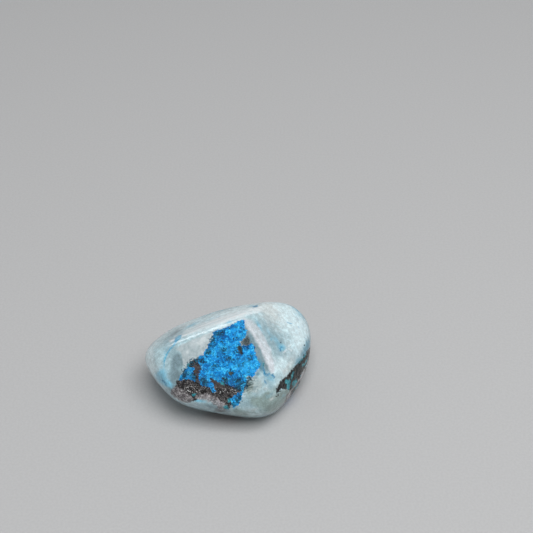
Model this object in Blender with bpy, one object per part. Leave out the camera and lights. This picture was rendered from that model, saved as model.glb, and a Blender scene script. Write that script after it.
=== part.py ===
"""Tumbled shattuckite: one polished pebble of milky quartz with blue shattuckite in it.

The stone lies on its broad underside. +X runs along its length to the blunt right end,
+Y points to its back, +Z is up. The origin is at the bottom, at the middle of its box.
"""
import bmesh
import bpy
import numpy as np

MM = 0.001

# The stone is a heart point with worn faces around it. Each face gives its azimuth in
# degrees (0 is +X, 90 is +Y), its elevation in degrees, its distance from the heart in
# millimetres, and how crisp its edges are: a low number blends it softly into its
# neighbours, a high one leaves a narrow rounded ridge.
WORN_FACES = {
    "front": (271, 55, 9.2, 16),
    "front_low": (265, 5, 15.65, 9),
    "top": (130, 64, 10.9, 16),
    "right_shoulder": (345, 53, 11.2, 10),
    "right_low": (327, 25, 14.0, 9),
    "right_wall": (326, -7, 16.25, 12),
    "right_end": (358, 0, 17.65, 10),
    "left_end": (216, 26, 19.4, 9),
    "left_tip": (183, 4, 26.65, 7),
    "left_back": (151, 33, 18.35, 10),
    "back_top": (130, 49, 12.65, 12),
    "back": (100, 48, 12.85, 10),
    "back_right": (35, 33, 19.05, 10),
    "back_low": (98, 4, 14.3, 8),
    "under_front": (257, -42, 13.4, 10),
    "under_left": (214, -25, 18.0, 11),
    "under_corner": (302, -38, 16.25, 10),
    "under_right": (335, -24, 16.6, 10),
    "under_back": (85, -38, 14.0, 8),
    "under_tip": (152, -28, 19.8, 12),
    "sole_left": (192, -64, 13.2, 14),
    "sole_right": (350, -64, 13.4, 14),
    "sole_back": (80, -64, 10.8, 12),
    "sole": (0, -90, 9.3, 16),
}

# Shallow hollows that the tumbling left on the back and the underside: azimuth and
# elevation in degrees, then width and depth in millimetres.
HOLLOWS = (
    (66, 22, 4.5, 0.30),
    (128, 6, 3.6, 0.26),
    (20, -14, 4.0, 0.24),
    (176, -30, 3.4, 0.22),
    (232, -52, 3.0, 0.18),
)

REST_WEAR_MM = 0.25         # how deep the sole is worn to a true flat
SIDE_CELLS = 28             # cells along each side of the six patches that cover the stone
EVENING_ROUNDS = 25         # passes that bring the cells to a like size
REACH_MM = 40.0             # further from the heart than any point of the skin
HALVINGS = 40               # steps that close in on the skin, far below any visible size

QUARTZ_COLOUR = (0.36, 0.50, 0.56, 1.0)
QUARTZ_ROUGHNESS = 0.12


def compass(azimuth, elevation):
    """Unit vectors for azimuths and elevations in degrees."""
    azimuth, elevation = np.radians(azimuth), np.radians(elevation)
    level = np.cos(elevation)
    return np.stack([level * np.cos(azimuth), level * np.sin(azimuth), np.sin(elevation)], -1)


def faceted_reach(directions):
    """Distance from the heart to the worn faces, with their shared edges rounded.

    Each face adds its share of the way to it, raised to its crispness. The skin is where
    the shares add up to one: in the middle of a face that is the face itself, and near an
    edge the neighbour's share pulls the skin in.
    """
    faces = np.array(list(WORN_FACES.values()), float)
    towards = compass(faces[:, 0], faces[:, 1])
    steepness = np.maximum(directions @ towards.T, 0.0) / faces[:, 2]
    crispness = faces[:, 3]
    near = np.zeros(len(directions))
    far = np.full(len(directions), REACH_MM)
    for _ in range(HALVINGS):
        middle = (near + far) / 2
        outside = ((middle[:, None] * steepness) ** crispness).sum(1) > 1.0
        far = np.where(outside, middle, far)
        near = np.where(outside, near, middle)
    return (near + far) / 2


def skin_points(directions):
    """Points of the stone's skin in millimetres around its heart."""
    reach = faceted_reach(directions)
    for azimuth, elevation, width, depth in HOLLOWS:
        centre = compass(azimuth, elevation)
        centre = centre * faceted_reach(centre[None, :])[0]
        away = np.linalg.norm(directions * reach[:, None] - centre, axis=1)
        reach = reach - depth * np.exp(-(away / width) ** 2)
    return directions * reach[:, None]


def patch_sphere():
    """A cube cut into even cells and blown up to a unit sphere."""
    bm = bmesh.new()
    bmesh.ops.create_cube(bm, size=2.0)
    bmesh.ops.subdivide_edges(bm, edges=bm.edges[:], cuts=SIDE_CELLS - 1, use_grid_fill=True)
    for vert in bm.verts:
        vert.co = [np.tan(value * np.pi / 4) for value in vert.co]
        vert.co.normalize()
    return bm


def shape_skin(bm):
    """Push every point out, or back, to the stone's skin."""
    directions = np.array([vert.co[:] for vert in bm.verts])
    directions /= np.linalg.norm(directions, axis=1, keepdims=True)
    for vert, point in zip(bm.verts, skin_points(directions)):
        vert.co = point


def even_out(bm):
    """Slide the points along the skin, so that the narrow end is as finely cut as the rest."""
    for _ in range(EVENING_ROUNDS):
        bmesh.ops.smooth_vert(
            bm, verts=bm.verts[:], factor=0.5, use_axis_x=True, use_axis_y=True, use_axis_z=True
        )
        shape_skin(bm)


def wear_flat(bm):
    """Press the lowest part of the sole to the one flat that the stone rests on."""
    level = min(vert.co.z for vert in bm.verts) + REST_WEAR_MM
    for vert in bm.verts:
        vert.co.z = max(vert.co.z, level)


def stand_at_origin(bm):
    """Put the middle of the box's bottom at the origin and go from millimetres to metres."""
    points = np.array([vert.co[:] for vert in bm.verts])
    low, high = points.min(0), points.max(0)
    middle = (low + high) / 2
    bmesh.ops.translate(bm, verts=bm.verts[:], vec=(-middle[0], -middle[1], -low[2]))
    bmesh.ops.scale(bm, verts=bm.verts[:], vec=(MM, MM, MM))


def polished_quartz():
    """Milky blue-grey quartz with a tumbled polish."""
    material = bpy.data.materials.new("polished_quartz_shattuckite")
    material.use_nodes = True
    surface = material.node_tree.nodes["Principled BSDF"]
    surface.inputs["Base Color"].default_value = QUARTZ_COLOUR
    surface.inputs["Roughness"].default_value = QUARTZ_ROUGHNESS
    surface.inputs["Metallic"].default_value = 0.0
    return material


def tumbled_stone():
    """The whole stone, one solid."""
    bm = patch_sphere()
    shape_skin(bm)
    even_out(bm)
    wear_flat(bm)
    stand_at_origin(bm)
    mesh = bpy.data.meshes.new("tumbled_stone")
    bm.to_mesh(mesh)
    bm.free()
    mesh.shade_smooth()
    mesh.materials.append(polished_quartz())
    stone = bpy.data.objects.new("tumbled_stone", mesh)
    bpy.context.scene.collection.objects.link(stone)
    return stone


def clear_scene():
    for old in list(bpy.data.objects):
        bpy.data.objects.remove(old, do_unlink=True)


clear_scene()
tumbled_stone()
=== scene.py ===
"""Looks of the tumbled shattuckite: a polished pebble of milky quartz with blue shattuckite.

The pebble is rebuilt here with fine cells from the same worn faces as the solid, gets its
pits and hollows, and is dressed with one material. The markings on the side that the
picture shows are drawn as outlines on the picture's own 533 by 533 frame, x to the right
and y down, and are thrown onto the skin along the line of sight. The other sides have
markings of their own, placed by azimuth and elevation around the stone.
"""

import bmesh
import bpy
import numpy as np
from mathutils import Matrix, Vector, noise


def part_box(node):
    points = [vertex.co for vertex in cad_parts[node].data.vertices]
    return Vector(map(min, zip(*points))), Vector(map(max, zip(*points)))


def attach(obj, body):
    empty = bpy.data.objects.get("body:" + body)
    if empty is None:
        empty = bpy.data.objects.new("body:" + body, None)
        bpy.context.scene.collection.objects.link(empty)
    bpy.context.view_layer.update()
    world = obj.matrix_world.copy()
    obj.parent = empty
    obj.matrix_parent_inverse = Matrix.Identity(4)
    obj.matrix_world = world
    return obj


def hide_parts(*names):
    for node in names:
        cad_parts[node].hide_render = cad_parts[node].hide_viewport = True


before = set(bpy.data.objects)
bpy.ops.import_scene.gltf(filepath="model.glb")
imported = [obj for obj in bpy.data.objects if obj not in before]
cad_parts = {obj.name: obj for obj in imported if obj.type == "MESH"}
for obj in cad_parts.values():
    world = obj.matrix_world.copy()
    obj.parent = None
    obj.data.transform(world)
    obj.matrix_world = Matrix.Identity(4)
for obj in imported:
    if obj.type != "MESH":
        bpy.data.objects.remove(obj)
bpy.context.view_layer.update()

MM = 0.001
STONE = "tumbled_stone"

# Each worn face: azimuth and elevation in degrees, distance from the heart in
# millimetres, and how crisp its edges are.
WORN_FACES = {
    "front": (271, 55, 9.2, 16),
    "front_low": (265, 5, 15.65, 9),
    "top": (130, 64, 10.9, 16),
    "right_shoulder": (345, 53, 11.2, 10),
    "right_low": (327, 25, 14.0, 9),
    "right_wall": (326, -7, 16.25, 12),
    "right_end": (358, 0, 17.65, 10),
    "left_end": (216, 26, 19.4, 9),
    "left_tip": (183, 4, 26.65, 7),
    "left_back": (151, 33, 18.35, 10),
    "back_top": (130, 49, 12.65, 12),
    "back": (100, 48, 12.85, 10),
    "back_right": (35, 33, 19.05, 10),
    "back_low": (98, 4, 14.3, 8),
    "under_front": (257, -42, 13.4, 10),
    "under_left": (214, -25, 18.0, 11),
    "under_corner": (302, -38, 16.25, 10),
    "under_right": (335, -24, 16.6, 10),
    "under_back": (85, -38, 14.0, 8),
    "under_tip": (152, -28, 19.8, 12),
    "sole_left": (192, -64, 13.2, 14),
    "sole_right": (350, -64, 13.4, 14),
    "sole_back": (80, -64, 10.8, 12),
    "sole": (0, -90, 9.3, 16),
}

# Shallow hollows: azimuth and elevation in degrees, width and depth in millimetres.
HOLLOWS = (
    (66, 22, 4.5, 0.30),
    (128, 6, 3.6, 0.26),
    (20, -14, 4.0, 0.24),
    (176, -30, 3.4, 0.22),
    (232, -52, 3.0, 0.18),
)
REST_WEAR_MM = 0.25
SIDE_CELLS = 32
EVENING_ROUNDS = 25
FINE_CUTS = 3
REACH_MM = 40.0
HALVINGS = 32

# The camera stands in front of the stone and looks down on it. The point AIM_MM of the
# part's frame lands on AIM_PIXEL of the picture.
PICTURE_SIDE = 533
LENS_MM = 85.0
SENSOR_MM = 36.0
LOOK_DOWN = 40.0
AIM_MM = (-0.071, -1.82, 10.54)
AIM_PIXEL = (228.0, 360.0)
AIM_DEPTH_MM = 290.3
FOCAL_PIXELS = PICTURE_SIDE * LENS_MM / SENSOR_MM
MM_PER_PIXEL = AIM_DEPTH_MM / FOCAL_PIXELS

# Markings on the front, in picture pixels. A loop is a closed curve through its points, a
# spot is x, y, half width, half height and a turn in degrees, and a stroke runs through
# x, y and half width.
FRONT_LOOPS = {
    "shattuckite": (
        ((244, 319.6), (240, 320.6), (232.5, 324.2), (225, 327.6), (214.6, 331.2), (212.2, 338.6),
         (207.4, 346.6), (204.0, 353.6), (199.8, 356.4), (197.9, 361), (201.5, 368), (198.8, 374),
         (200.6, 384), (205.2, 386.6), (208.4, 386), (212.6, 391.4), (215, 392.4), (216, 390),
         (210.9, 380), (212.5, 378.4), (220, 382.6), (224, 381), (231, 386.4), (241.6, 389.4),
         (240.4, 392), (231.6, 397.6), (231, 401), (233.2, 406.6), (235.4, 407.8), (239.6, 402.2),
         (243.4, 391.6), (246.4, 381.8), (247.4, 376.2), (252, 377.4), (257.4, 370.4),
         (260.6, 365.6), (257, 358.4), (254.6, 351), (254.8, 347), (251.2, 343.8), (247, 345.4),
         (243.6, 343.4), (241.6, 346.4), (241.0, 341.6), (245.4, 337.4), (246, 331), (244.6, 322.6)),
        ((190.5, 367.0), (185.2, 368.4), (180.8, 375.4), (179.6, 380), (187, 379), (195, 380.4),
         (196.6, 378), (193.4, 374.6), (194, 368)),
    ),
    "matrix": (
        ((187, 368), (196, 366), (206, 376), (216, 376), (228, 379), (246, 384), (241, 396),
         (236, 402), (226, 396), (210, 391), (196, 385), (183, 379)),
        ((177.6, 380.4), (184, 379.4), (192, 380.6), (197.6, 384.4), (203, 386.4), (209, 387.4),
         (215.2, 392.8), (211.4, 382.6), (212.6, 377.8), (219.6, 381.2), (227, 383.2), (240, 390),
         (233, 396.4), (232, 404), (228, 409.4), (222.2, 405.2), (216, 400.6), (209, 398),
         (201, 398), (194.6, 401.2), (186.4, 401.8), (178, 398.2), (171.4, 392.4), (174.6, 388)),
        ((193.6, 363.6), (200, 365), (203, 369), (201, 375), (203, 384), (197.4, 385.6),
         (195, 381), (193.4, 375), (192, 368)),
        ((187.5, 366), (191, 361.8), (196, 359.4), (200.6, 357.4), (201, 361.5), (203, 366),
         (196, 367), (190, 368.4)),
    ),
    "brown": (
        ((193.8, 364.6), (199.6, 367), (200.2, 370), (197.4, 376), (193.8, 372)),
        ((196, 377.4), (199.8, 381), (199.6, 384), (195.4, 380)),
        ((212.2, 378.2), (218.4, 380.4), (224, 385.4), (219.4, 388.6), (213, 383.2)),
    ),
    "mauve": (
        ((173.6, 388.6), (180, 388), (187.6, 393.8), (192.8, 399.4), (187, 403), (177, 399.4),
         (170.6, 392.4)),
        ((195, 396.4), (205, 394), (215, 396.4), (226, 405.4), (226, 410), (219, 408.4),
         (213, 403.6), (206, 400.4), (197.4, 399.4)),
    ),
    "cream": (
        ((176.6, 349.4), (181, 345), (190, 340.8), (200, 336.8), (213.4, 331.8), (208.6, 345.6),
         (203.6, 354.4), (193.4, 360.2), (187.6, 364.4), (184.4, 370), (183, 361.6),
         (181.6, 353.4)),
    ),
    "seam": (
        ((276.0, 395.6), (277.6, 387.6), (281.6, 380.8), (288.6, 374.4), (294.2, 367.6),
         (301.8, 358.2), (311.8, 346.2), (310.4, 358.6), (306.6, 366.6), (303.0, 373.6),
         (297.8, 381), (296.2, 388.8), (290.6, 390.6), (285, 388.2), (279.6, 391.6)),
    ),
    "blush": (
        ((306.4, 366.6), (303.2, 372), (299.0, 380.4), (296.8, 387.6), (289.8, 391.4),
         (286.4, 396), (284.6, 403.6), (292, 396.4), (300.4, 385.4), (306, 373.4)),
    ),
    "fern": (
        ((246.8, 378.6), (251.8, 378.4), (252.4, 385.6), (248.4, 391.4), (244, 392.6), (245, 386)),
    ),
    "grit": (
        ((240.2, 342), (242.6, 338), (247.6, 336.6), (250.6, 341), (249, 346.6), (243, 347)),
    ),
    "sand": (
        ((251, 378.4), (258.4, 377.8), (262.6, 385), (257.6, 392.6), (250.2, 392), (251.6, 384.4)),
    ),
}
FRONT_SPOTS = {
    "olive": (
        (239.6, 348.6, 2.0, 3.0, -20), (241.5, 352.6, 1.4, 2.2, -20), (230.8, 373, 2.0, 1.6, 0),
        (223.6, 378, 1.3, 1.1, 0),
    ),
    "turquoise": (
        (287.6, 382.2, 1.7, 2.8, -8), (289.6, 382.4, 1.4, 2.6, 8), (288.8, 386.0, 1.7, 3.8, 0),
        (295.2, 383.4, 1.6, 4.4, 18), (293.2, 375.6, 1.0, 2.8, 8), (306.4, 361.6, 0.9, 3.2, 25),
        (304.6, 356.4, 0.8, 2.6, 32), (301.2, 360.6, 0.6, 2.2, 38), (303.4, 364.6, 0.5, 2.0, 32),
        (222.2, 383.2, 2.2, 1.4, 30), (193.8, 394.8, 2.0, 1.2, -10), (229.2, 400.4, 1.5, 2.6, 10),
        (226.4, 407.6, 3.0, 1.8, 20), (188.6, 365.2, 1.2, 1.4, 0), (263.5, 365.5, 0.7, 1.8, 0),
    ),
    "dot": ((280.8, 342.5, 0.8, 0.8, 0), (304.5, 345.3, 0.7, 0.7, 0), (298.4, 356, 0.5, 0.5, 0)),
    "thicket": (
        (219, 334, 5.0, 2.2, -20), (212.6, 341, 2.2, 4.4, 20), (208.2, 351.6, 2.8, 3.4, 30),
        (229, 358.4, 3.0, 2.0, 0), (223.8, 350, 1.8, 2.2, 0), (214.6, 365.4, 2.6, 2.0, 0),
        (240.4, 349.6, 2.6, 4.2, -15), (231, 373, 2.8, 2.2, 0), (238.6, 381.6, 4.6, 3.2, 10),
        (226, 381.4, 3.4, 2.4, 20), (202.4, 361, 2.6, 3.0, 0), (204, 381.6, 3.2, 4.4, -20),
        (194, 377, 2.4, 3.0, 0), (184, 377, 2.2, 2.6, 0), (192, 362.2, 4.6, 2.4, -35),
        (196.6, 360.4, 3.4, 2.0, -30), (238.6, 399, 2.6, 4.0, 20),
        (233.6, 404.6, 2.2, 2.4, 0), (246.6, 383.6, 1.6, 4.0, 0), (250.6, 358, 1.6, 2.2, 0),
        (249.4, 378.8, 2.6, 2.8, 0), (238.4, 387.4, 3.6, 2.6, 10), (184.6, 371.6, 1.6, 3.2, 30),
    ),
}
FRONT_STROKES = {
    "vein": (
        ((181.6, 335.0, 0.6), (179.6, 337.0, 1.7), (176.8, 339.2, 2.0), (175.8, 341.6, 1.2),
         (173.4, 346, 0.5), (170.0, 349.4, 0.7), (167.0, 353.6, 0.7), (165.0, 358.6, 0.8),
         (164.4, 363, 0.6), (164.2, 367, 0.3)),
        ((264.6, 369.8, 0.4), (264.4, 373, 0.9), (265.6, 376.6, 0.4)),
        ((269.8, 374.4, 0.4), (272.4, 375.4, 0.7), (274.2, 376.8, 0.4)),
        ((271.2, 338.4, 0.4), (271.6, 340.2, 0.3)),
        ((254, 306.6, 0.5), (257.2, 305.8, 0.6)),
    ),
    "crease": (
        ((179.6, 346.0, 0.4), (182.0, 350.6, 0.9), (182.8, 356.0, 1.1), (182.4, 361.6, 0.9),
         (181.8, 367, 1.0), (181.0, 372, 1.1), (178.6, 377, 0.7)),
    ),
    "blue_dash": (
        ((162.8, 380.8, 0.6), (164.6, 382.6, 0.9), (166.0, 384.0, 0.6)),
        ((264.0, 367.4, 0.5), (263.8, 370, 0.8), (264.8, 372.8, 0.6), (267.4, 375.2, 0.8),
         (269.6, 373.6, 0.5)),
        ((272.6, 374.6, 0.6), (274.6, 377.4, 0.6)), ((281.2, 347.4, 0.8), (280.4, 351, 0.6)),
        ((253.4, 307.4, 0.8), (257.4, 306.0, 0.8)), ((264.6, 379.6, 0.4), (265.8, 383, 0.6)),
    ),
    "crack": (
        ((284.0, 352.0, 0.4), (286.6, 349.6, 0.8)), ((288.6, 348.4, 0.4), (291.4, 350.2, 0.8)),
        ((288.0, 346.6, 0.4), (290.6, 345.2, 0.6)), ((274.6, 357.0, 0.4), (276.0, 362.0, 0.6)),
    ),
    # A painted highlight: a pale line along the lower right edge.
    "rim_highlight": (
        ((305.0, 369.2, 0.4), (301.6, 377.2, 0.5), (296.2, 385.8, 0.4), (290.8, 391.8, 0.5),
         (287.6, 397.4, 0.4)),
    ),
    # A painted highlight: a pale band along the ridge between the front and the right shoulder, broken by white
    # streaks.
    "highlight_veil": (
        ((244.6, 319.4, 1.8), (249.4, 323.6, 3.8), (255.6, 331, 4.6), (261.6, 341, 4.7),
         (266.6, 351, 4.6), (270.0, 361, 4.2), (272.4, 371, 2.2)),
    ),
    # A painted reflection: a white band along the top side of the ridge between the front and the top, broken by
    # healed-crack streaks.
    "ridge_sheen_and_streaks": (
        ((170, 341, 0.6), (184, 334.4, 1.8), (200, 328, 3.0), (220, 320.4, 3.6),
         (243, 312.6, 3.8), (258, 309.6, 2.6)),
    ),
}

# Soft tints on the front: x, y, half width, half height, turn, strength.
FRONT_TINTS = {
    # Cloudy white quartz, and also painted light: painted reflection along the top edges and the band above the front
    # ridge, and a painted glow on the left rim.
    "milk_and_sheen": (
        (230, 320, 26, 4.5, -20, 0.6), (290, 318, 20, 10, 42, 1.3), (270, 308, 22, 5, 5, 1.0),
        (150, 352, 5, 14, 12, 0.7), (150, 364, 4, 9, -10, 0.8), (276, 368, 4, 7, 10, 0.6),
        (236, 311, 22, 3, -16, 0.5), (283, 364, 6, 8, 35, 0.6), (205, 341, 12, 5, -22, 0.3),
        (302, 334, 6, 10, 0, 0.9), (156, 340, 6, 5, -30, 0.4), (160, 372, 6, 8, 0, 0.6),
    ),
    "mist": (
        (275, 342, 8, 13, -30, 1.3), (284, 352, 7, 7, 0, 0.8), (294, 354, 5, 7, 30, 0.9),
        (170, 350, 8, 14, 10, 0.8), (171, 376, 8, 8, 0, 0.9), (262, 328, 6, 12, -30, 0.9),
        (271, 322, 4, 8, -30, 0.7), (205, 405, 24, 5, 6, 0.4), (258, 398, 14, 8, 0, 0.5),
        (304, 348, 6, 12, 10, 0.9), (268, 378, 7, 8, 0, 0.7), (249, 404, 8, 5, 0, 0.7),
        (178, 334, 12, 3.4, -30, 1.0), (172, 340, 8, 5, -30, 0.6),
    ),
    # Grey-blue quartz; the two strong tints beside the ridge between the front and the right shoulder are painted shade
    # on that ridge's shadow side.
    "grey_and_shade": (
        (176, 364, 5.5, 14, 8, 1.2), (177, 380, 6, 7, 0, 1.0), (259, 354, 7, 13, -25, 1.6),
        (251, 337, 6, 12, -25, 1.6), (188, 361, 4.5, 6, 30, 0.9), (268, 368, 3, 6, -20, 0.5),
        (222, 410, 10, 4, 8, 1.0), (207, 405, 10, 3, 6, 0.5), (187, 324, 10, 2.2, -26, 0.7), (172, 388, 5, 5, 0, 0.9),
        (281, 340, 3, 8, -30, 0.5), (293, 358, 4, 6, 30, 0.7), (286, 390, 5, 6, 30, 0.5),
        (176, 332, 10, 2.4, -32, 0.8), (206, 346, 2.6, 7, 25, 0.5),
    ),
    "moss": (
        (258, 401, 8, 5, -10, 1.2), (284, 400, 12, 8, -40, 1.2), (267, 394, 4, 3, -30, 0.9), (249, 388, 4.5, 8, 0, 1.0),
        (264, 412, 18, 4, -8, 0.3), (272, 403, 11, 6, -15, 1.2), (290, 393, 5, 8, 35, 0.9),
        (240, 412, 10, 4, 4, 0.7), (273, 390, 5, 4, 0, 0.3),
        (279, 385, 3, 6, 40, 0.5), (291, 370, 3, 7, 40, 0.5),
    ),
    "cream": (
        (286, 370, 5, 8, 38, 0.6), (292, 361, 5, 5, 38, 0.5), (277, 384, 3, 6, 40, 0.4),
        (266, 388, 4, 4, 0, 0.5), (272, 399, 5, 2, -30, 0.6), (252, 410, 6, 2, -8, 0.5),
    ),
    "rose": (
        (304, 380, 4, 12, 28, 1.3), (294, 396, 3.4, 10, 42, 1.2), (220, 411, 8, 3, 4, 0.6),
    ),
    "aqua": (
        (161, 376, 6, 8, 20, 1.15), (168, 384, 6, 3.4, 25, 1.1), (282, 348, 4, 4, 0, 0.8),
        (306, 342, 2.6, 14, 0, 0.35), (229, 322, 5, 2, -20, 0.8), (192, 325, 8, 1.6, -28, 0.6),
        (259, 326, 2.2, 8, -25, 0.6), (197, 400, 9, 2.2, 10, 1.1), (270, 378, 5, 4, 0, 0.6),
        (165, 356, 2.4, 12, 14, 0.3), (268, 331, 2.4, 9, -30, 0.35), (277, 341, 3, 7, -35, 0.6),
        (296, 332, 2, 8, -30, 0.25), (268, 396, 8, 4, -35, 0.3), (284, 396, 6, 3, -38, 0.3),
        (214, 318, 12, 1.4, -18, 0.4), (252, 306, 6, 1.6, -10, 0.7), (257, 380, 3, 3, 0, 0.4),
    ),
    "lagoon": (
        (260.5, 365, 3, 8, -20, 1.3), (306, 352, 5, 10, 15, 0.9), (309, 341, 3, 8, 4, 0.5), (258, 374, 3, 3, 0, 0.7),
        (250, 340, 2.4, 6, -20, 0.6), (265, 322, 1.6, 5, -30, 0.5), (298, 361, 3, 6, 35, 0.45),
    ),
    "sky": (
        (246, 366, 10, 8, 0, 0.9), (240, 330, 5, 9, 0, 0.7), (209, 377, 4, 7, 0, 0.9),
        (226, 349, 5, 5, 0, 0.9), (239, 399, 4, 7, 0, 0.9),
        (219, 352, 8, 6, 0, 0.3),
    ),
    "teal": (
        (213, 341, 5, 12, 28, 0.8), (220, 333, 7, 4, -10, 0.5), (202, 362, 5, 5, 0, 0.6),
        (228, 380, 11, 4, 20, 0.5), (240, 383, 6, 5, 0, 0.8), (203, 380, 4, 6, 0, 0.2), (217, 378, 3, 3, 0, 0.8),
        (238, 400, 6, 7, 0, 0.3), (187, 375, 7, 8, 0, 1.8), (230, 346, 6, 5, 0, 0.3),
        (224, 366, 8, 4, 0, 0.3),
    ),
    # Painted glints: places where white sparkles are laid on the dark rock.
    "painted_glints": (
        (187, 390, 5, 3, 0, 1.0), (195, 389.4, 6, 2.8, 0, 1.0), (231, 392, 7, 3.6, 0, 0.8),
        (222, 391, 5, 3, 0, 0.6), (235, 384, 4, 3, 0, 0.5), (206, 388, 5, 2, 0, 0.4),
        (228, 404, 4, 3, 0, 0.4),
    ),
}

# Markings on the other sides: azimuth, elevation, half width, half height in millimetres,
# and a turn in degrees.
ROUND_SPOTS = {
    "shattuckite": (
        (74, 18, 4.6, 2.6, 20), (98, 20, 2.6, 1.8, -30), (52, 4, 2.2, 1.6, 0),
        (238, -58, 3.6, 2.2, 35), (205, -70, 2.8, 2.0, 0), (160, -22, 2.4, 1.4, 10),
        (342, -34, 2.6, 1.4, -20),
    ),
    "matrix": (
        (250, -36, 4.6, 2.4, -10), (222, -52, 4.2, 2.6, 30), (190, -58, 4.0, 2.4, 10),
        (66, 8, 3.6, 1.8, 30), (88, 22, 3.0, 2.0, 0), (338, -14, 2.2, 3.2, 20),
        (350, -28, 3.4, 1.6, -30),
    ),
    "mauve": ((236, -44, 2.4, 1.2, 0), (80, 12, 2.2, 1.0, 20), (196, -66, 2.0, 1.4, 0)),
    "turquoise": ((58, 14, 1.2, 0.7, 20), (92, 14, 1.4, 0.6, -20), (344, -22, 0.9, 1.6, 10),
                  (214, -60, 1.2, 0.8, 0), (168, -26, 0.9, 0.6, 0)),
    "brown": ((84, 28, 1.3, 0.9, 0), (228, -60, 1.5, 1.0, 0)),
}
ROUND_STROKES = {
    "vein": (
        (0.22, (112, 34), (104, 22), (110, 12), (120, 2), (118, -12)),
        (0.16, (30, 34), (24, 20), (16, 8), (18, -6)),
        (0.18, (186, 12), (178, 2), (172, -10), (176, -24)),
        (0.14, (300, -20), (312, -32), (318, -48)),
    ),
}
ROUND_TINTS = {
    "aqua": ((44, 10, 4, 3, 0, 0.8), (120, 14, 5, 4, 0, 0.7), (150, 0, 6, 4, 0, 0.5),
             (300, -60, 6, 4, 0, 0.6), (60, -30, 6, 4, 0, 0.6), (190, -10, 4, 4, 0, 0.5)),
    "cream": ((40, 44, 5, 4, 0, 0.8), (140, -30, 6, 4, 0, 0.8), (320, -70, 5, 4, 0, 0.7)),
    "grey_and_shade": ((104, 6, 6, 5, 0, 0.8), (0, -20, 5, 4, 0, 0.7), (180, -40, 5, 4, 0, 0.7)),
    "milk_and_sheen": ((130, 54, 9, 5, 0, 0.5), (80, -10, 6, 3, 0, 0.8), (354, 14, 5, 5, 0, 0.4),
             (140, 14, 6, 3, 30, 0.9), (60, 30, 5, 3, -20, 0.8), (200, -6, 4, 5, 0, 0.7),
             (10, -4, 3, 5, 20, 0.7), (110, -26, 6, 3, 0, 0.7)),
    "mist": ((90, 34, 6, 4, 0, 0.6), (30, 8, 4, 6, 0, 0.6), (240, -20, 6, 4, 0, 0.7),
             (160, -40, 6, 4, 0, 0.6)),
    "lagoon": ((60, 24, 3, 2, 0, 0.8), (112, 0, 2.4, 4, 0, 0.8), (345, -8, 2, 4, 0, 0.8)),
    "moss": ((270, -30, 9, 4, 0, 0.6), (40, -10, 4, 3, 0, 0.6), (210, -20, 6, 3, 0, 0.4)),
    "rose": ((330, -20, 4, 3, 0, 0.5), (130, -50, 4, 3, 0, 0.6)),
    "teal": ((70, 16, 3, 2, 0, 0.6), (236, -58, 3, 2, 0, 0.6)),
}


def sphere_way(azimuth, elevation):
    """Unit vectors for azimuths and elevations in degrees."""
    azimuth, elevation = np.radians(azimuth), np.radians(elevation)
    level = np.cos(elevation)
    return np.stack([level * np.cos(azimuth), level * np.sin(azimuth), np.sin(elevation)], -1)


def faceted_reach(directions):
    """Distance from the heart to the worn faces, with their shared edges rounded."""
    faces = np.array(list(WORN_FACES.values()), float)
    towards = sphere_way(faces[:, 0], faces[:, 1])
    steepness = np.maximum(directions @ towards.T, 0.0) / faces[:, 2]
    crispness = faces[:, 3]
    near = np.zeros(len(directions))
    far = np.full(len(directions), REACH_MM)
    for _ in range(HALVINGS):
        middle = (near + far) / 2
        outside = ((middle[:, None] * steepness) ** crispness).sum(1) > 1.0
        far = np.where(outside, middle, far)
        near = np.where(outside, near, middle)
    return (near + far) / 2


def skin_points(directions):
    """Points of the stone's skin in millimetres around its heart."""
    reach = faceted_reach(directions)
    for azimuth, elevation, width, depth in HOLLOWS:
        centre = sphere_way(azimuth, elevation)
        centre = centre * faceted_reach(centre[None, :])[0]
        away = np.linalg.norm(directions * reach[:, None] - centre, axis=1)
        reach = reach - depth * np.exp(-(away / width) ** 2)
    return directions * reach[:, None]


def places_of(bm):
    return np.array([vert.co[:] for vert in bm.verts])


def put_places(bm, places):
    for vert, place in zip(bm.verts, places):
        vert.co = place


def shape_skin(bm):
    """Push every point out, or back, to the stone's skin."""
    directions = places_of(bm)
    directions /= np.linalg.norm(directions, axis=1, keepdims=True)
    put_places(bm, skin_points(directions))


def patch_sphere():
    """A cube cut into even cells and blown up to a unit sphere."""
    bm = bmesh.new()
    bmesh.ops.create_cube(bm, size=2.0)
    bmesh.ops.subdivide_edges(bm, edges=bm.edges[:], cuts=SIDE_CELLS - 1, use_grid_fill=True)
    for vert in bm.verts:
        vert.co = [np.tan(value * np.pi / 4) for value in vert.co]
        vert.co.normalize()
    return bm


def even_out(bm):
    """Slide the points along the skin, so that the narrow end is as finely cut as the rest."""
    for _ in range(EVENING_ROUNDS):
        bmesh.ops.smooth_vert(
            bm, verts=bm.verts[:], factor=0.5, use_axis_x=True, use_axis_y=True, use_axis_z=True
        )
        shape_skin(bm)


def stone_skin():
    """The whole skin in fine cells, in millimetres around the heart."""
    bm = patch_sphere()
    shape_skin(bm)
    even_out(bm)
    bmesh.ops.subdivide_edges(bm, edges=bm.edges[:], cuts=FINE_CUTS, use_grid_fill=True)
    shape_skin(bm)
    bm.normal_update()
    return bm


def heart_in_frame(places):
    """Where the heart lies in the part's frame, once the worn sole stands on the floor."""
    low, high = places.min(0), places.max(0)
    middle = (low + high) / 2
    return np.array([-middle[0], -middle[1], -low[2] - REST_WEAR_MM])


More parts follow.
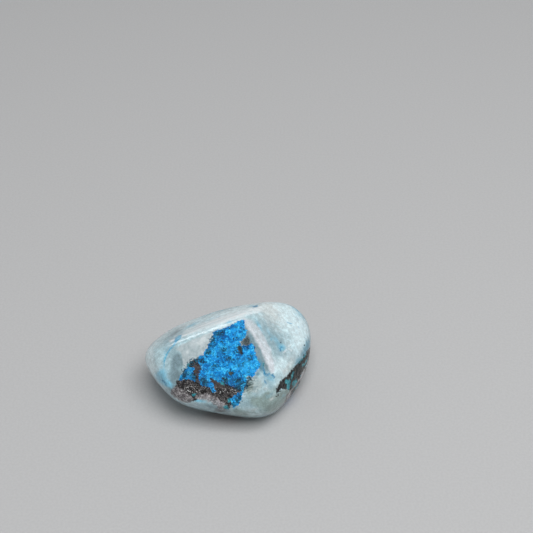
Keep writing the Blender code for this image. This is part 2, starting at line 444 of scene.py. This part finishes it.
def camera_axes():
    """The camera's place in millimetres, and its right, up and forward directions."""
    tilt = np.radians(LOOK_DOWN)
    right = np.array([1.0, 0.0, 0.0])
    up = np.array([0.0, np.sin(tilt), np.cos(tilt)])
    forward = np.array([0.0, np.cos(tilt), -np.sin(tilt)])
    across = (AIM_PIXEL[0] - PICTURE_SIDE / 2) * MM_PER_PIXEL
    above = (PICTURE_SIDE / 2 - AIM_PIXEL[1]) * MM_PER_PIXEL
    place = np.array(AIM_MM) - AIM_DEPTH_MM * forward - across * right - above * up
    return place, right, up, forward


def seen_from_camera(places, normals):
    """Picture pixels of each point, and how squarely it faces the camera."""
    eye, right, up, forward = camera_axes()
    sight = places - eye
    depth = sight @ forward
    pixels = np.stack([sight @ right / depth, -(sight @ up) / depth], -1) * FOCAL_PIXELS
    facing = -(sight * normals).sum(1) / np.linalg.norm(sight, axis=1)
    return pixels + PICTURE_SIDE / 2, facing


CURVE_STEPS = 5


def curve_through(points):
    """A closed curve through the points of a loop."""
    points = np.array(points, float)
    before, after, beyond = [np.roll(points, shift, 0) for shift in (1, -1, -2)]
    curve = []
    for step in np.arange(CURVE_STEPS) / CURVE_STEPS:
        curve.append(
            points + (after - before) * step / 2
            + (before - 2.5 * points + 2 * after - beyond / 2) * step ** 2
            + (1.5 * (points - after) + (beyond - before) / 2) * step ** 3
        )
    return np.stack(curve, 1).reshape(-1, 2)


def stroke_depth(places, points, half_widths):
    """How deep each place lies inside a stroke, below zero outside it."""
    depth = np.full(len(places), -np.inf)
    for start, end, first, last in zip(points, points[1:], half_widths, half_widths[1:]):
        along = np.clip((places - start) @ (end - start) / ((end - start) @ (end - start)), 0, 1)
        away = np.linalg.norm(places - start - along[:, None] * (end - start), axis=1)
        depth = np.maximum(depth, first + (last - first) * along - away)
    return depth


def loop_depth(pixels, points):
    """How deep each pixel lies inside a loop, below zero outside it."""
    loop = curve_through(points)
    closed = np.concatenate([loop, loop[:1]])
    edge = -stroke_depth(pixels, closed, np.zeros(len(closed)))
    inside = np.zeros(len(pixels), bool)
    for start, end in zip(closed, closed[1:]):
        if start[1] == end[1]:
            continue
        crosses = (start[1] > pixels[:, 1]) != (end[1] > pixels[:, 1])
        level = start[0] + (pixels[:, 1] - start[1]) * (end[0] - start[0]) / (end[1] - start[1])
        inside ^= crosses & (pixels[:, 0] < level)
    return np.where(inside, edge, -edge)


def turned(offsets, degrees):
    turn = np.radians(degrees)
    return (
        offsets[:, 0] * np.cos(turn) + offsets[:, 1] * np.sin(turn),
        offsets[:, 1] * np.cos(turn) - offsets[:, 0] * np.sin(turn),
    )


def tangent_offsets(places, heart, azimuth, elevation):
    """Places as seen on a flat sheet laid against the skin at one azimuth and elevation."""
    outward = sphere_way(azimuth, elevation)
    touch = heart + outward * faceted_reach(outward[None, :])[0]
    level = sphere_way(azimuth + 90, 0)
    rise = np.cross(outward, level)
    offsets = places - touch
    return np.stack([offsets @ level, offsets @ rise, offsets @ outward], -1)


def ellipse_share(offsets, half_width, half_height, degrees):
    """0 in the middle of an ellipse, 1 on its edge."""
    along, up = turned(offsets, degrees)
    share = (along / half_width) ** 2 + (up / half_height) ** 2
    if offsets.shape[1] == 3:
        share = share + (offsets[:, 2] / (half_width + half_height)) ** 2
    return np.sqrt(share)


def noise_of(places, per_mm, seed=0.0):
    """Smooth noise from about -1 to 1, with features about 1 / per_mm wide."""
    shift = Vector((seed, seed * 1.7, seed * 2.3))
    return np.array([noise.noise(Vector(place) * per_mm + shift) for place in places])


EDGE_WRAP = 0.12            # how far past the silhouette the front markings run on
WRAP_MM = 5.0
WARP_MM = 1.3               # how far the round spots are pulled out of shape


def marking_depths(places, normals, heart):
    """How deep each point lies in each marking, in millimetres, below zero outside it."""
    pixels, facing = seen_from_camera(places, normals)
    horizon = (facing + EDGE_WRAP) * WRAP_MM
    warp = np.stack([noise_of(places, 0.45, seed) for seed in (3.0, 11.0, 27.0)], -1) * WARP_MM
    pulled = places + warp
    depths = {}

    def lay(name, depth):
        depths[name] = np.maximum(depths.get(name, -REACH_MM), depth)

    for name, loops in FRONT_LOOPS.items():
        for points in loops:
            lay(name, np.minimum(loop_depth(pixels, points) * MM_PER_PIXEL, horizon))
    for name, spots in FRONT_SPOTS.items():
        for x, y, half_width, half_height, degrees in spots:
            share = ellipse_share(pixels - (x, y), half_width, half_height, degrees)
            depth = (1 - share) * min(half_width, half_height) * MM_PER_PIXEL
            lay(name, np.minimum(depth, horizon))
    for name, strokes in FRONT_STROKES.items():
        for stroke in strokes:
            path = np.array(stroke, float)
            depth = stroke_depth(pixels, path[:, :2], path[:, 2]) * MM_PER_PIXEL
            lay(name, np.minimum(depth, horizon))
    for name, spots in ROUND_SPOTS.items():
        for azimuth, elevation, half_width, half_height, degrees in spots:
            offsets = tangent_offsets(pulled, heart, azimuth, elevation)
            share = ellipse_share(offsets, half_width, half_height, degrees)
            lay(name, (1 - share) * min(half_width, half_height))
    for name, strokes in ROUND_STROKES.items():
        for half_width, *stops in strokes:
            ways = sphere_way(*np.array(stops, float).T)
            path = heart + skin_points(ways)
            lay(name, stroke_depth(pulled, path, np.full(len(path), half_width)))
    return depths


def tint_strengths(places, normals, heart):
    """How strongly each soft tint shows at each point, from 0 to 1."""
    pixels, facing = seen_from_camera(places, normals)
    front = np.clip(facing / 0.25, 0, 1)
    strengths = {}
    for name, tints in FRONT_TINTS.items():
        total = np.zeros(len(places))
        for x, y, half_width, half_height, degrees, strength in tints:
            share = ellipse_share(pixels - (x, y), half_width, half_height, degrees)
            total += strength * np.exp(-share ** 2)
        strengths[name] = total * front
    for name, tints in ROUND_TINTS.items():
        for azimuth, elevation, half_width, half_height, degrees, strength in tints:
            offsets = tangent_offsets(places, heart, azimuth, elevation)
            share = ellipse_share(offsets, half_width, half_height, degrees)
            strengths[name] = strengths.get(name, 0) + strength * np.exp(-share ** 2)
    return {name: np.clip(strength, 0, 1) for name, strength in strengths.items()}


def ease(value, low, high):
    share = np.clip((value - low) / (high - low), 0, 1)
    return share * share * (3 - 2 * share)


def relief_depth(places, depths):
    """How far the skin sinks below the polish at each point, in millimetres."""
    wave = 0.035 * (1 + noise_of(places, 0.22, 5.0)) + 0.012 * (1 + noise_of(places, 0.7, 9.0))
    grains = noise_of(places, 1.5, 14.0)
    fine = noise_of(places, 2.6, 21.0)
    blue = ease(depths["shattuckite"], -0.15, 0.25) * 0.5
    rock = ease(np.maximum(depths["matrix"], depths["seam"]), -0.15, 0.25) * (1 - 0.6 * blue)
    sink = wave
    sink = sink + blue * (0.03 + 0.07 * ease(grains, 0.05, 0.6) + 0.03 * ease(fine, 0.1, 0.6))
    sink = sink + rock * (0.05 + 0.13 * ease(grains, -0.1, 0.5) + 0.05 * ease(fine, 0.0, 0.6))
    sink = sink + 0.08 * ease(depths["olive"], -0.1, 0.3)
    sink = sink + 0.05 * ease(depths["thicket"], -0.1, 0.4) * ease(fine, -0.1, 0.4)
    return sink


def wear_flat(places):
    """Press the lowest part of the sole to the one flat that the stone rests on."""
    places[:, 2] = np.maximum(places[:, 2], 0.0)
    return places


def fit_to_solid(places):
    """Bring the skin exactly into the solid's box, in metres."""
    low, high = [np.array(corner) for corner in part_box(STONE)]
    own_low, own_high = places.min(0), places.max(0)
    return low + (places - own_low) / (own_high - own_low) * (high - low)


def dressed_stone():
    """The pebble with its relief, carrying the depth of each marking on its points."""
    bm = stone_skin()
    around_heart = places_of(bm)
    normals = np.array([vert.normal[:] for vert in bm.verts])
    heart = heart_in_frame(around_heart)
    places = around_heart + heart
    depths = marking_depths(places, normals, heart)
    strengths = tint_strengths(places, normals, heart)
    sink = relief_depth(places, depths)
    places = wear_flat(places - normals * sink[:, None])
    put_places(bm, fit_to_solid(places))
    mesh = bpy.data.meshes.new("pebble")
    bm.to_mesh(mesh)
    bm.free()
    mesh.shade_smooth()
    tints = {name + "_tint": strength for name, strength in strengths.items()}
    for name, values in {**depths, **tints}.items():
        layer = mesh.attributes.new(name, "FLOAT", "POINT")
        layer.data.foreach_set("value", values.astype(np.float32))
    stone = bpy.data.objects.new("pebble", mesh)
    bpy.context.scene.collection.objects.link(stone)
    return stone


# Node wiring

class Bench:
    """A node tree being wired: each call adds a node and gives back its output."""

    def __init__(self, tree):
        self.tree = tree

    def add(self, kind, wires, output=0, **settings):
        node = self.tree.nodes.new(kind)
        for name, value in settings.items():
            setattr(node, name, value)
        for socket, value in wires.items():
            if isinstance(value, bpy.types.NodeSocket):
                self.tree.links.new(value, node.inputs[socket])
            else:
                node.inputs[socket].default_value = value
        return node.outputs[output]

    def math(self, how, first, second=0.0, clamp=False):
        return self.add("ShaderNodeMath", {0: first, 1: second}, operation=how, use_clamp=clamp)

    def mix(self, share, under, over, how="MIX"):
        wires = {0: share, 6: under, 7: over}
        return self.add("ShaderNodeMix", wires, 2, data_type="RGBA", blend_type=how)

    def ease(self, value, low, high, start=0.0, end=1.0):
        wires = {"Value": value, "From Min": low, "From Max": high, "To Min": start, "To Max": end}
        return self.add("ShaderNodeMapRange", wires, interpolation_type="SMOOTHSTEP")

    def noise(self, spot, scale, detail=2.0, rough=0.5, bend=0.0):
        wires = {"Vector": spot, "Scale": scale, "Detail": detail, "Roughness": rough,
                 "Distortion": bend}
        return self.add("ShaderNodeTexNoise", wires)

    def cells(self, spot, scale, feature="F1"):
        wires = {"Vector": spot, "Scale": scale}
        return self.add("ShaderNodeTexVoronoi", wires, feature=feature)

    def drawn(self, spot, way, stretch):
        """The pattern's place, so that it comes out drawn out along one direction."""
        along = self.add("ShaderNodeVectorMath", {0: spot, 1: way}, "Value", operation="DOT_PRODUCT")
        back = self.math("MULTIPLY", along, -stretch)
        wires = {0: way, 3: back}
        slide = self.add("ShaderNodeVectorMath", wires, operation="SCALE")
        return self.add("ShaderNodeVectorMath", {0: spot, 1: slide}, operation="ADD")

    def mark(self, name):
        return self.add("ShaderNodeAttribute", {}, 2, attribute_name=name)


def new_group(name, inputs, outputs):
    """An empty shader group with its sockets, and benches for its inside."""
    tree = bpy.data.node_groups.new(name, "ShaderNodeTree")
    for label, kind in inputs.items():
        tree.interface.new_socket(label, in_out="INPUT", socket_type="NodeSocket" + kind)
    for label, kind in outputs.items():
        tree.interface.new_socket(label, in_out="OUTPUT", socket_type="NodeSocket" + kind)
    inlet = tree.nodes.new("NodeGroupInput")
    outlet = tree.nodes.new("NodeGroupOutput")
    return tree, Bench(tree), inlet.outputs, outlet.inputs


def paint(red, green, blue):
    """A colour from its picture values, 0 to 255, as linear light."""
    picture = np.array([red, green, blue]) / 255
    linear = np.where(picture <= 0.04045, picture / 12.92, ((picture + 0.055) / 1.055) ** 2.4)
    return (*linear, 1.0)


def ragged_edge():
    """A marking's mask: its edge frayed by noise and softened."""
    tree, bench, inlet, outlet = new_group(
        "ragged_edge",
        {"Depth": "Float", "Spot": "Vector", "Fray": "Float", "Grain": "Float", "Softness": "Float"},
        {"Mask": "Float"},
    )
    grain = bench.noise(inlet["Spot"], inlet["Grain"], 4.0, 0.6)
    fray = bench.math("MULTIPLY", bench.math("SUBTRACT", grain, 0.5), inlet["Fray"])
    depth = bench.math("ADD", inlet["Depth"], fray)
    low = bench.math("MULTIPLY", inlet["Softness"], -1.0)
    tree.links.new(bench.ease(depth, low, inlet["Softness"]), outlet["Mask"])
    return tree


def mineral_mottle():
    """A grainy mineral: dark, middle and light grains, with winding specks between them."""
    tree, bench, inlet, outlet = new_group(
        "mineral_mottle",
        {"Spot": "Vector", "Grain": "Float", "Specks": "Float", "Dark": "Color", "Middle": "Color",
         "Light": "Color", "Speck": "Color"},
        {"Colour": "Color", "Height": "Float"},
    )
    spot = inlet["Spot"]
    clump = bench.noise(spot, bench.math("MULTIPLY", inlet["Grain"], 0.35), 2.0)
    grain = bench.noise(spot, inlet["Grain"], 2.0, 0.6, 0.4)
    gleam = bench.noise(spot, bench.math("MULTIPLY", inlet["Grain"], 1.35), 1.0, 0.5, 0.8)
    tone = bench.math("ADD", bench.math("MULTIPLY", clump, 0.45), bench.math("MULTIPLY", grain, 0.55))
    colour = bench.mix(bench.ease(tone, 0.40, 0.52), inlet["Dark"], inlet["Middle"])
    lights = bench.ease(bench.math("ADD", bench.math("MULTIPLY", tone, 0.6), bench.math("MULTIPLY", gleam, 0.4)), 0.5, 0.62)
    colour = bench.mix(lights, colour, inlet["Light"])
    winding = bench.noise(spot, bench.math("MULTIPLY", inlet["Grain"], 1.3), 1.0, 0.5, 0.6)
    line = bench.math("ABSOLUTE", bench.math("SUBTRACT", winding, 0.5))
    cluster = bench.noise(bench.add("ShaderNodeVectorMath", {0: spot, 1: (31.0, 17.0, 5.0)}),
                          bench.math("MULTIPLY", inlet["Grain"], 0.6), 2.0, 0.6)
    level = bench.math("ADD", cluster, bench.math("MULTIPLY", inlet["Specks"], 0.35))
    width = bench.ease(level, 0.50, 0.85, 0.0, 0.075)
    specks = bench.ease(bench.math("SUBTRACT", width, line), -0.015, 0.02)
    tree.links.new(bench.mix(specks, colour, inlet["Speck"]), outlet["Colour"])
    height = bench.math("SUBTRACT", tone, bench.math("MULTIPLY", specks, 0.4))
    tree.links.new(height, outlet["Height"])
    return tree


def fine_streaks():
    """Streaks of healed cracks in the quartz, drawn out along one direction."""
    tree, bench, inlet, outlet = new_group(
        "fine_streaks", {"Spot": "Vector", "Way": "Vector", "Grain": "Float"}, {"Streak": "Float"}
    )
    drawn = bench.drawn(inlet["Spot"], inlet["Way"], 0.92)
    streak = bench.noise(drawn, inlet["Grain"], 4.0, 0.65, 0.2)
    tree.links.new(bench.ease(streak, 0.40, 0.66), outlet["Streak"])
    return tree


RIDGE_WAY = (0.94, 0.286, 0.188)
SHOULDER_WAY = (-0.498, 0.707, 0.50)
SEAM_WAY = (0.493, 0.85, 0.184)
FERN_WAY = (0.96, 0.20, 0.18)

QUARTZ = paint(172, 199, 206)
TINTS = {
    "mist": paint(150, 177, 186),
    # Grey-blue quartz colour, also used as painted shade beside the ridge between the front and the right shoulder.
    "grey_and_shade": paint(117, 140, 148),
    "moss": paint(135, 154, 150),
    "rose": paint(94, 89, 88),
    # Cloudy white quartz colour, also used as painted reflection and glow on the front's edges.
    "milk_and_sheen": paint(216, 235, 240),
    "aqua": paint(126, 192, 217),
    "lagoon": paint(92, 142, 162),
    "cream": paint(200, 208, 208),
}

# Minerals from the lowest layer to the top one: how far and how finely the edge frays, its
# softness and strength, then the mottle's grain, specks and dark, middle, light and speck
# colours.
MINERALS = {
    "cream": (
        (0.7, 0.8, 0.25, 0.8), 0.9, -0.6,
        (164, 176, 179), (184, 194, 197), (208, 214, 215), (150, 160, 162),
    ),
    "sand": (
        (1.8, 0.9, 0.60, 0.6), 1.4, 0.1,
        (136, 148, 146), (176, 186, 184), (206, 212, 210), (104, 118, 115),
    ),
    "blush": (
        (0.8, 0.9, 0.18, 0.85), 1.0, 0.2,
        (74, 69, 70), (96, 91, 91), (126, 122, 121), (56, 50, 49),
    ),
    "matrix": (
        (1.6, 1.4, 0.08, 1.0), 3.0, 0.5,
        (20, 18, 19), (50, 47, 48), (124, 121, 121), (8, 8, 9),
    ),
    "mauve": (
        (1.6, 1.2, 0.25, 0.9), 2.4, 0.3,
        (94, 90, 93), (140, 137, 139), (188, 186, 187), (60, 56, 59),
    ),
    "brown": (
        (0.8, 1.4, 0.10, 1.0), 2.2, -0.4,
        (54, 48, 48), (68, 62, 62), (86, 80, 80), (40, 36, 36),
    ),
    "seam": (
        (2.2, 0.8, 0.14, 1.0), 1.6, 0.4,
        (4, 4, 4), (9, 12, 11), (26, 38, 38), (2, 2, 2),
    ),
    "grit": (
        (2.2, 1.4, 0.35, 0.85), 2.2, 0.4,
        (40, 46, 46), (86, 92, 90), (140, 148, 146), (24, 28, 28),
    ),
    "shattuckite": (
        (1.8, 1.4, 0.10, 1.0), 1.9, 0.3,
        (6, 92, 162), (8, 146, 224), (70, 206, 250), (10, 50, 70),
    ),
    "thicket": (
        (3.8, 2.3, 0.22, 0.9), 2.6, 0.6,
        (10, 40, 50), (18, 74, 96), (24, 130, 170), (8, 22, 28),
    ),
    "olive": (
        (0.8, 1.4, 0.08, 0.9), 2.4, 0.3,
        (30, 38, 36), (52, 62, 56), (90, 104, 92), (14, 18, 18),
    ),
    "turquoise": (
        (0.9, 1.3, 0.16, 0.95), 1.2, -0.4,
        (26, 112, 126), (44, 146, 160), (98, 196, 206), (22, 76, 86),
    ),
    "vein": (
        (0.7, 1.2, 0.18, 0.8), 1.6, 0.0,
        (40, 144, 186), (66, 164, 202), (116, 196, 224), (36, 118, 152),
    ),
    "blue_dash": (
        (1.7, 1.6, 0.18, 0.75), 1.8, 0.2,
        (30, 100, 146), (50, 134, 178), (90, 168, 204), (26, 72, 100),
    ),
}


def stone_material():
    """Polished quartz with everything that lies in it, and painted highlights, reflections, glints and shade."""
    material = bpy.data.materials.new("polished_quartz_shattuckite_looks")
    material.use_nodes = True
    tree = material.node_tree
    bench = Bench(tree)
    surface = tree.nodes["Principled BSDF"]
    edge_group = ragged_edge()
    mottle_group = mineral_mottle()
    streak_group = fine_streaks()
    raw = bench.add("ShaderNodeTexCoord", {}, "Object")
    spot = bench.add("ShaderNodeMapping", {"Vector": raw, "Scale": (1 / MM, 1 / MM, 1 / MM)})

    def mask(name, fray, grain=1.4, softness=0.06):
        wires = {"Depth": bench.mark(name), "Spot": spot, "Fray": fray, "Grain": grain,
                 "Softness": softness}
        return bench.add("ShaderNodeGroup", wires, node_tree=edge_group)

    def mottle(grain, specks, dark, middle, light, speck, place=spot):
        wires = {"Spot": place, "Grain": grain, "Specks": specks, "Dark": paint(*dark),
                 "Middle": paint(*middle), "Light": paint(*light), "Speck": paint(*speck)}
        colour = bench.add("ShaderNodeGroup", wires, node_tree=mottle_group)
        return colour, colour.node.outputs["Height"]

    def streaks(way, grain):
        wires = {"Spot": spot, "Way": way, "Grain": grain}
        return bench.add("ShaderNodeGroup", wires, node_tree=streak_group)

    # Quartz
    cloud = bench.noise(spot, 0.28, 4.0, 0.6, 0.5)
    haze = bench.noise(spot, 0.9, 5.0, 0.65, 0.3)
    ridge_streaks = streaks(RIDGE_WAY, 1.1)
    shoulder_streaks = streaks(SHOULDER_WAY, 0.8)
    body = bench.mix(bench.ease(cloud, 0.4, 0.7, 0.0, 0.5), QUARTZ, paint(206, 228, 234))
    body = bench.mix(bench.ease(cloud, 0.5, 0.3, 0.0, 0.4), body, paint(138, 174, 186))
    flecks = bench.ease(bench.noise(spot, 1.9, 5.0, 0.75), 0.52, 0.68, 0.0, 0.18)
    body = bench.mix(flecks, body, paint(226, 242, 246))
    for name, colour in TINTS.items():
        ragged = bench.math("MULTIPLY", bench.math("SUBTRACT", haze, 0.5), 0.9)
        level = bench.math("ADD", bench.mark(name + "_tint"), ragged)
        body = bench.mix(bench.ease(level, 0.1, 0.9, 0.0, 0.9), body, colour)
    # Painted highlight along the ridge between the front and the right shoulder, streaked like cloudy quartz.
    streaked = bench.ease(shoulder_streaks, 0.0, 1.0, 1.0, 0.7)
    highlight_veil = bench.math("MULTIPLY", mask("highlight_veil", 0.9, 0.7, 0.36), streaked)
    body = bench.mix(highlight_veil, body, paint(198, 205, 211))
    wisps = bench.noise(spot, 1.1, 5.0, 0.66, 0.4)
    body = bench.mix(1.0, body, bench.ease(wisps, 0.34, 0.66, 0.85, 1.12), "MULTIPLY")
    body = bench.mix(1.0, body, bench.ease(shoulder_streaks, 0.0, 1.0, 1.03, 0.93), "MULTIPLY")
    body = bench.mix(1.0, body, bench.ease(ridge_streaks, 0.0, 1.0, 0.97, 1.06), "MULTIPLY")
    fine = bench.noise(spot, 4.2, 3.0, 0.75, 0.3)
    body = bench.mix(1.0, body, bench.ease(fine, 0.32, 0.68, 0.88, 1.10), "MULTIPLY")
    # Painted reflection above the ridge between the front and the top, broken by healed-crack streaks.
    streaked = bench.ease(ridge_streaks, 0.0, 1.0, 0.32, 1.0)
    highlight_veil = bench.math("MULTIPLY", mask("ridge_sheen_and_streaks", 1.2, 0.8, 0.5), streaked)
    body = bench.mix(highlight_veil, body, paint(233, 236, 238))
    crease = bench.math("MULTIPLY", mask("crease", 0.5, 0.9, 0.22), 0.5)
    body = bench.mix(crease, body, paint(96, 122, 128))
    crack = bench.math("MULTIPLY", mask("crack", 1.2, 2.4, 0.16), 0.45)
    body = bench.mix(crack, body, paint(244, 248, 250))

    # Minerals
    colour = body
    masks = {}
    heights = {}
    for name, (edge, *look) in MINERALS.items():
        masks[name] = bench.math("MULTIPLY", mask(name, *edge[:3]), edge[3])
        place = bench.drawn(spot, SEAM_WAY, 0.7) if name == "seam" else spot
        shade, heights[name] = mottle(*look, place=place)
        if name == "shattuckite":
            fern = bench.noise(bench.drawn(spot, FERN_WAY, 0.85), 1.7, 3.0, 0.6)
            branches = bench.math("MULTIPLY", mask("fern", 1.6, 0.9, 0.6), bench.ease(fern, 0.42, 0.56))
            colour = bench.mix(branches, colour, paint(62, 78, 76))
            sky = bench.ease(haze, 0.35, 0.6, 0.1, 0.7)
            sky = bench.math("MULTIPLY", bench.mark("sky_tint"), sky)
            shade = bench.mix(sky, shade, paint(52, 190, 246), "LIGHTEN")
            deep = bench.math("MULTIPLY", bench.mark("teal_tint"), bench.ease(haze, 0.35, 0.6, 0.15, 0.5))
            shade = bench.mix(deep, shade, paint(12, 84, 118))
        colour = bench.mix(masks[name], colour, shade)
    # Painted glints: white sparkles on the bare dark rock.
    painted_glints = bench.ease(bench.noise(spot, 3.4, 1.0, 0.5), 0.62, 0.68)
    painted_glints = bench.math("MULTIPLY", painted_glints, bench.mark("painted_glints_tint"))
    bare = bench.math("SUBTRACT", masks["matrix"], masks["shattuckite"], clamp=True)
    colour = bench.mix(bench.math("MULTIPLY", painted_glints, bare), colour, paint(228, 230, 230))
    colour = bench.mix(mask("dot", 0.3, 1.4, 0.1), colour, paint(50, 74, 84))
    # Painted highlight: a pale line along the lower right edge.
    rim = bench.math("MULTIPLY", mask("rim_highlight", 0.4, 0.9, 0.14), 0.6)
    colour = bench.mix(rim, colour, paint(196, 196, 196))
    tree.links.new(colour, surface.inputs["Base Color"])

    # Polish
    stony = bench.math("MAXIMUM", masks["matrix"], masks["seam"])
    smudge = bench.ease(haze, 0.3, 0.7, 0.05, 0.10)
    rough = bench.add("ShaderNodeMix", {0: stony, 2: smudge, 3: 0.22}, 0, data_type="FLOAT")
    tree.links.new(rough, surface.inputs["Roughness"])
    grains = bench.math("MULTIPLY", bench.noise(spot, 1.1, 3.0), 0.05)
    for name in ("matrix", "seam", "shattuckite"):
        grains = bench.math("ADD", grains, bench.math("MULTIPLY", heights[name], masks[name]))
    bump = bench.add(
        "ShaderNodeBump", {"Strength": 0.5, "Distance": 0.03 * MM, "Height": grains}
    )
    tree.links.new(bump, surface.inputs["Normal"])
    surface.inputs["IOR"].default_value = 1.54
    surface.inputs["Subsurface Weight"].default_value = 0.35
    surface.inputs["Subsurface Radius"].default_value = (1.0, 1.0, 1.0)
    surface.inputs["Subsurface Scale"].default_value = 0.6 * MM
    return material


def floor_material():
    """Pale matt card with a faint tooth."""
    material = bpy.data.materials.new("pale_card")
    material.use_nodes = True
    tree = material.node_tree
    bench = Bench(tree)
    surface = tree.nodes["Principled BSDF"]
    spot = bench.add("ShaderNodeTexCoord", {}, "Object")
    tooth = bench.noise(spot, 1800.0, 2.0)
    tone = bench.mix(bench.ease(tooth, 0.3, 0.7), (0.477, 0.478, 0.481, 1.0), (0.503, 0.504, 0.507, 1.0))
    tree.links.new(tone, surface.inputs["Base Color"])
    surface.inputs["Roughness"].default_value = 0.9
    surface.inputs["Specular IOR Level"].default_value = 0.1
    return material


def floor():
    bm = bmesh.new()
    bmesh.ops.create_grid(bm, x_segments=1, y_segments=1, size=1.6)
    mesh = bpy.data.meshes.new("floor")
    bm.to_mesh(mesh)
    bm.free()
    mesh.materials.append(floor_material())
    card = bpy.data.objects.new("floor", mesh)
    bpy.context.scene.collection.objects.link(card)
    return card


def camera():
    eye, right, up, forward = camera_axes()
    data = bpy.data.cameras.new("camera")
    data.lens = LENS_MM
    data.sensor_width = SENSOR_MM
    data.clip_start = 0.01
    seat = bpy.data.objects.new("camera", data)
    seat.location = eye * MM
    seat.rotation_euler = (np.radians(90 - LOOK_DOWN), 0, 0)
    bpy.context.scene.collection.objects.link(seat)
    bpy.context.scene.camera = seat


def softbox(name, way, along, away, width, depth, watts, diffuse, gloss):
    """A soft rectangle that looks at the stone from one side, its width laid along a line."""
    way = Vector(way).normalized()
    along = Vector(along)
    data = bpy.data.lights.new(name, "AREA")
    data.shape = "RECTANGLE"
    data.size = width
    data.size_y = depth
    data.energy = watts
    lamp = bpy.data.objects.new(name, data)
    along = (along - way * way.dot(along)).normalized()
    axes = Matrix((along, way.cross(along), way)).transposed()
    lamp.matrix_world = Matrix.Translation(way * away) @ axes.to_4x4()
    lamp.visible_diffuse = diffuse
    lamp.visible_glossy = gloss
    bpy.context.scene.collection.objects.link(lamp)


def soft_room():
    world = bpy.data.worlds.new("soft_room")
    world.use_nodes = True
    bench = Bench(world.node_tree)
    sky = world.node_tree.nodes["Background"]
    way = bench.add("ShaderNodeTexCoord", {}, "Generated")
    height = bench.add("ShaderNodeSeparateXYZ", {"Vector": way}, "Z")
    sky.inputs["Color"].default_value = (0.97, 0.985, 1.0, 1.0)
    world.node_tree.links.new(bench.ease(height, 0.1, 0.9, 0.41, 0.27), sky.inputs["Strength"])
    bpy.context.scene.world = world


bpy.context.scene.view_settings.view_transform = "Standard"
camera()
soft_room()
softbox("key_light", (0.18, -0.28, 0.94), (1, 0, 0), 0.7, 0.55, 0.45, 4.4, True, False)
softbox("ridge_light", (-0.34, 0.43, 0.84), (0.77, -0.36, 0.53), 0.6, 0.30, 0.17, 0.85, False, True)
softbox("shoulder_light", (0.48, -0.08, 0.87), (0.69, -0.51, -0.51), 0.6, 0.30, 0.24, 0.26, False, True)
softbox("back_light", (-0.1, 0.95, 0.30), (1, 0, 0), 0.8, 1.0, 0.36, 0.6, False, True)
floor()
stone = dressed_stone()
stone.data.materials.append(stone_material())
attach(stone, "root")
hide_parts(STONE)
